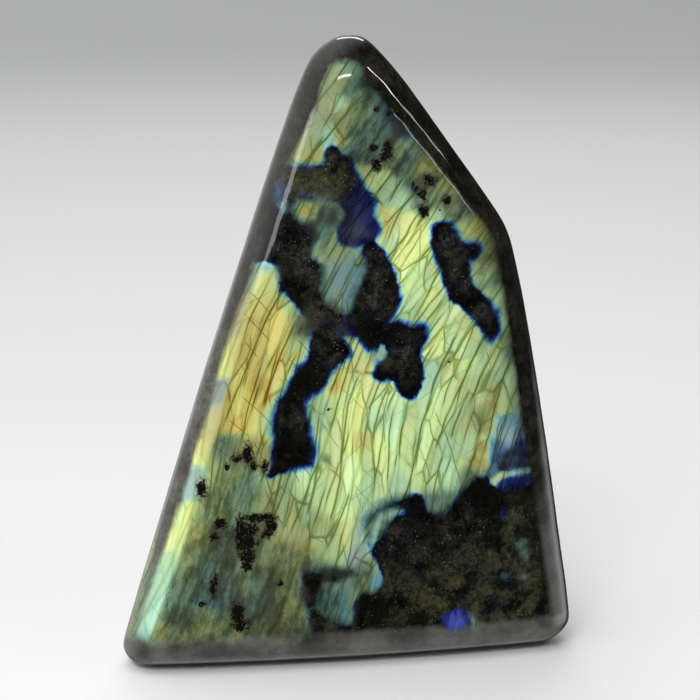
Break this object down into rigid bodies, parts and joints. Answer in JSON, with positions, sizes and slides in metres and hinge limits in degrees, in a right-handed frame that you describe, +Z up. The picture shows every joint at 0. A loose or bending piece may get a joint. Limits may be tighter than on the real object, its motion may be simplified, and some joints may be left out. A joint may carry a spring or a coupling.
{
  "type": "polished labradorite freeform",
  "caption": "Freestanding polished freeform of labradorite: a leaning triangular slab with a rounded rim, standing on a sawn flat base.",
  "frame": {"origin": "middle of the bounding box at the plane that the stone stands on", "axes": "+Z up to the rounded tip, -Y out of the display face, +X to the viewer's right when facing it"},
  "size_m": [0.1124, 0.0504, 0.1528],
  "materials": {
    "labradorite": "Glossy polish on a dark grey-green feldspar, with yellow-green, gold, teal and blue flashes that end in dark patches; the base is sawn and matte."
  },
  "bodies": {
    "root": {"stone": "labradorite"}
  },
  "joints": []
}
